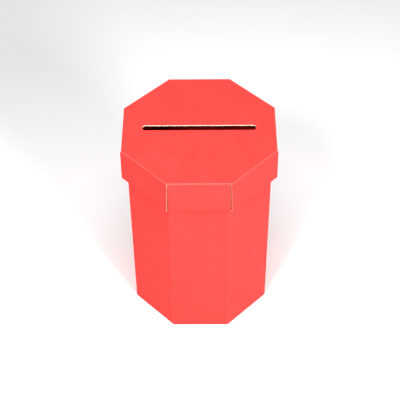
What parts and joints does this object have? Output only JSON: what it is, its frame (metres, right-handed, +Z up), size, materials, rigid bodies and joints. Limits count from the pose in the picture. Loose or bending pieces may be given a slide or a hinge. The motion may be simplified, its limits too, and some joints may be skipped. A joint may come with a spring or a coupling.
{
  "type": "donation box",
  "caption": "Octagonal donation box of red corrugated board: a folded tube, a hinged tuck-in base and a lift-off skirted lid with a posting slot.",
  "frame": {"origin": "centre of the footprint, on the ground", "axes": "+Z up, front towards -Y, the posting slot along X"},
  "size_m": [0.1904, 0.1904, 0.2775],
  "materials": {
    "body_board": "satin print on fine-fluted board",
    "base_board": "satin print on fine-fluted board",
    "lid_board": "satin print on fine-fluted board"
  },
  "bodies": {
    "body": {"front_panel": "body_board", "front_right_panel": "body_board", "right_panel": "body_board", "back_right_panel": "body_board", "back_panel": "body_board", "back_left_panel": "body_board", "left_panel": "body_board", "front_left_panel": "body_board", "seam_flap": "body_board"},
    "base": {"base_panel": "base_board"},
    "lid": {"lid_top": "lid_board", "lid_front_wall": "lid_board", "lid_right_wall": "lid_board", "lid_back_wall": "lid_board", "lid_left_wall": "lid_board", "lid_front_tab_left": "lid_board", "lid_front_tab_right": "lid_board", "lid_right_tab_left": "lid_board", "lid_right_tab_right": "lid_board", "lid_back_tab_left": "lid_board", "lid_back_tab_right": "lid_board", "lid_left_tab_left": "lid_board", "lid_left_tab_right": "lid_board", "lid_front_right_wall": "lid_board", "lid_front_right_hem": "lid_board", "lid_front_right_lining": "lid_board", "lid_back_right_wall": "lid_board", "lid_back_right_hem": "lid_board", "lid_back_right_lining": "lid_board", "lid_back_left_wall": "lid_board", "lid_back_left_hem": "lid_board", "lid_back_left_lining": "lid_board", "lid_front_left_wall": "lid_board", "lid_front_left_hem": "lid_board", "lid_front_left_lining": "lid_board"},
    "front_tuck": {"front_tuck_tab": "base_board"},
    "front_right_tuck": {"front_right_tuck_tab": "base_board"},
    "right_tuck": {"right_tuck_tab": "base_board"},
    "back_right_tuck": {"back_right_tuck_tab": "base_board"},
    "back_left_tuck": {"back_left_tuck_tab": "base_board"},
    "left_tuck": {"left_tuck_tab": "base_board"},
    "front_left_tuck": {"front_left_tuck_tab": "base_board"}
  },
  "joints": [
    {"name": "lid_lift", "type": "slide", "parent": "body", "child": "lid", "axis": [0, 0, 1], "range_m": [0, 0.12]},
    {"name": "base_fold", "type": "hinge", "parent": "body", "child": "base", "pos_m": [0, 0.088, 0], "axis": [1, 0, 0], "range_deg": [0, 90]},
    {"name": "front_tuck_fold", "type": "hinge", "parent": "base", "child": "front_tuck", "pos_m": [0, -0.0838, 0.0015], "axis": [-1, 0, 0], "range_deg": [0, 80]},
    {"name": "front_right_tuck_fold", "type": "hinge", "parent": "base", "child": "front_right_tuck", "pos_m": [0.05926, -0.05926, 0.0015], "axis": [-0.7071, -0.7071, 0], "range_deg": [0, 80]},
    {"name": "right_tuck_fold", "type": "hinge", "parent": "base", "child": "right_tuck", "pos_m": [0.0838, 0, 0.0015], "axis": [0, -1, 0], "range_deg": [0, 80]},
    {"name": "back_right_tuck_fold", "type": "hinge", "parent": "base", "child": "back_right_tuck", "pos_m": [0.05926, 0.05926, 0.0015], "axis": [0.7071, -0.7071, 0], "range_deg": [0, 80]},
    {"name": "back_left_tuck_fold", "type": "hinge", "parent": "base", "child": "back_left_tuck", "pos_m": [-0.05926, 0.05926, 0.0015], "axis": [0.7071, 0.7071, 0], "range_deg": [0, 80]},
    {"name": "left_tuck_fold", "type": "hinge", "parent": "base", "child": "left_tuck", "pos_m": [-0.0838, 0, 0.0015], "axis": [0, 1, 0], "range_deg": [0, 80]},
    {"name": "front_left_tuck_fold", "type": "hinge", "parent": "base", "child": "front_left_tuck", "pos_m": [-0.05926, -0.05926, 0.0015], "axis": [-0.7071, 0.7071, 0], "range_deg": [0, 80]}
  ]
}
